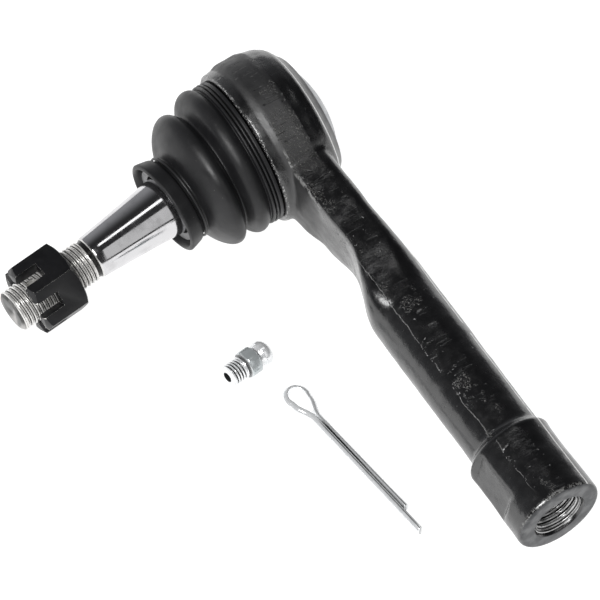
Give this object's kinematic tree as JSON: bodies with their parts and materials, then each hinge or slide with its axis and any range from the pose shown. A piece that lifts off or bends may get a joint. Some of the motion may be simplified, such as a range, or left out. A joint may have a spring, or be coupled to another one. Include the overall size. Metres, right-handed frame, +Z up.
{
  "type": "tie rod end",
  "caption": "Outer tie rod end: forged black housing with a threaded shank, swivelling taper stud in a pleated rubber boot, slotted nut, loose split pin and grease nipple.",
  "frame": {"origin": "centre of the bounding box on the surface the part lies on", "axes": "+X along the shank toward its threaded end, stud toward -Y, +Z up off the surface"},
  "size_m": [0.1624, 0.1013, 0.0465],
  "materials": {
    "black_paint": "semi-gloss black over a forged skin",
    "polished_steel": "ground and polished",
    "spring_steel": "plain spring steel",
    "zinc_plate": "bright zinc plating",
    "black_oxide": "black oxide, edges worn bright",
    "boot_rubber": "satin",
    "bearing_plastic": "smooth moulded"
  },
  "bodies": {
    "housing": {"forged_housing": "black_paint", "cover_plate": "zinc_plate", "preload_spring": "spring_steel", "boot_retaining_ring": "spring_steel"},
    "bearing": {"lower_bearing": "bearing_plastic", "upper_bearing": "bearing_plastic", "dust_boot": "boot_rubber"},
    "boot_collar": {"boot_neck_ring": "spring_steel", "boot_collar_insert": "spring_steel"},
    "stud": {"ball_stud": "polished_steel"},
    "nut": {"castle_nut": "black_oxide"},
    "split_pin": {"cotter_pin": "zinc_plate"},
    "grease_fitting": {"grease_fitting_body": "zinc_plate", "grease_check_spring": "spring_steel"},
    "check_ball": {"grease_check_ball": "spring_steel"}
  },
  "joints": [
    {"name": "bearing_turn", "type": "hinge", "parent": "housing", "child": "bearing", "pos_m": [-0.05822, 0.03434, 0.0232], "axis": [-0.0134, -0.987, -0.1602], "continuous": true},
    {"name": "stud_swing", "type": "hinge", "parent": "bearing", "child": "boot_collar", "pos_m": [-0.05822, 0.03434, 0.0232], "axis": [0.0824, -0.1607, 0.9835], "range_deg": [-23, 13], "deforming": ["dust_boot"]},
    {"name": "stud_spin", "type": "hinge", "parent": "boot_collar", "child": "stud", "pos_m": [-0.05822, 0.03434, 0.0232], "axis": [0.0735, -0.9832, -0.1668], "continuous": true},
    {"name": "nut_travel", "type": "slide", "parent": "stud", "child": "nut", "axis": [0.0735, -0.9832, -0.1668], "range_m": [-0.0055, 0.021]},
    {"name": "cotter_pin_lift", "type": "slide", "parent": "housing", "child": "split_pin", "axis": [0, 0, 1], "range_m": [0, 0.08]},
    {"name": "grease_fitting_lift", "type": "slide", "parent": "housing", "child": "grease_fitting", "axis": [0, 0, 1], "range_m": [0, 0.08]},
    {"name": "grease_check_press", "type": "slide", "parent": "grease_fitting", "child": "check_ball", "axis": [0.1702, -0.9854, 0], "range_m": [0, 0.0003], "deforming": ["grease_check_spring"]}
  ]
}
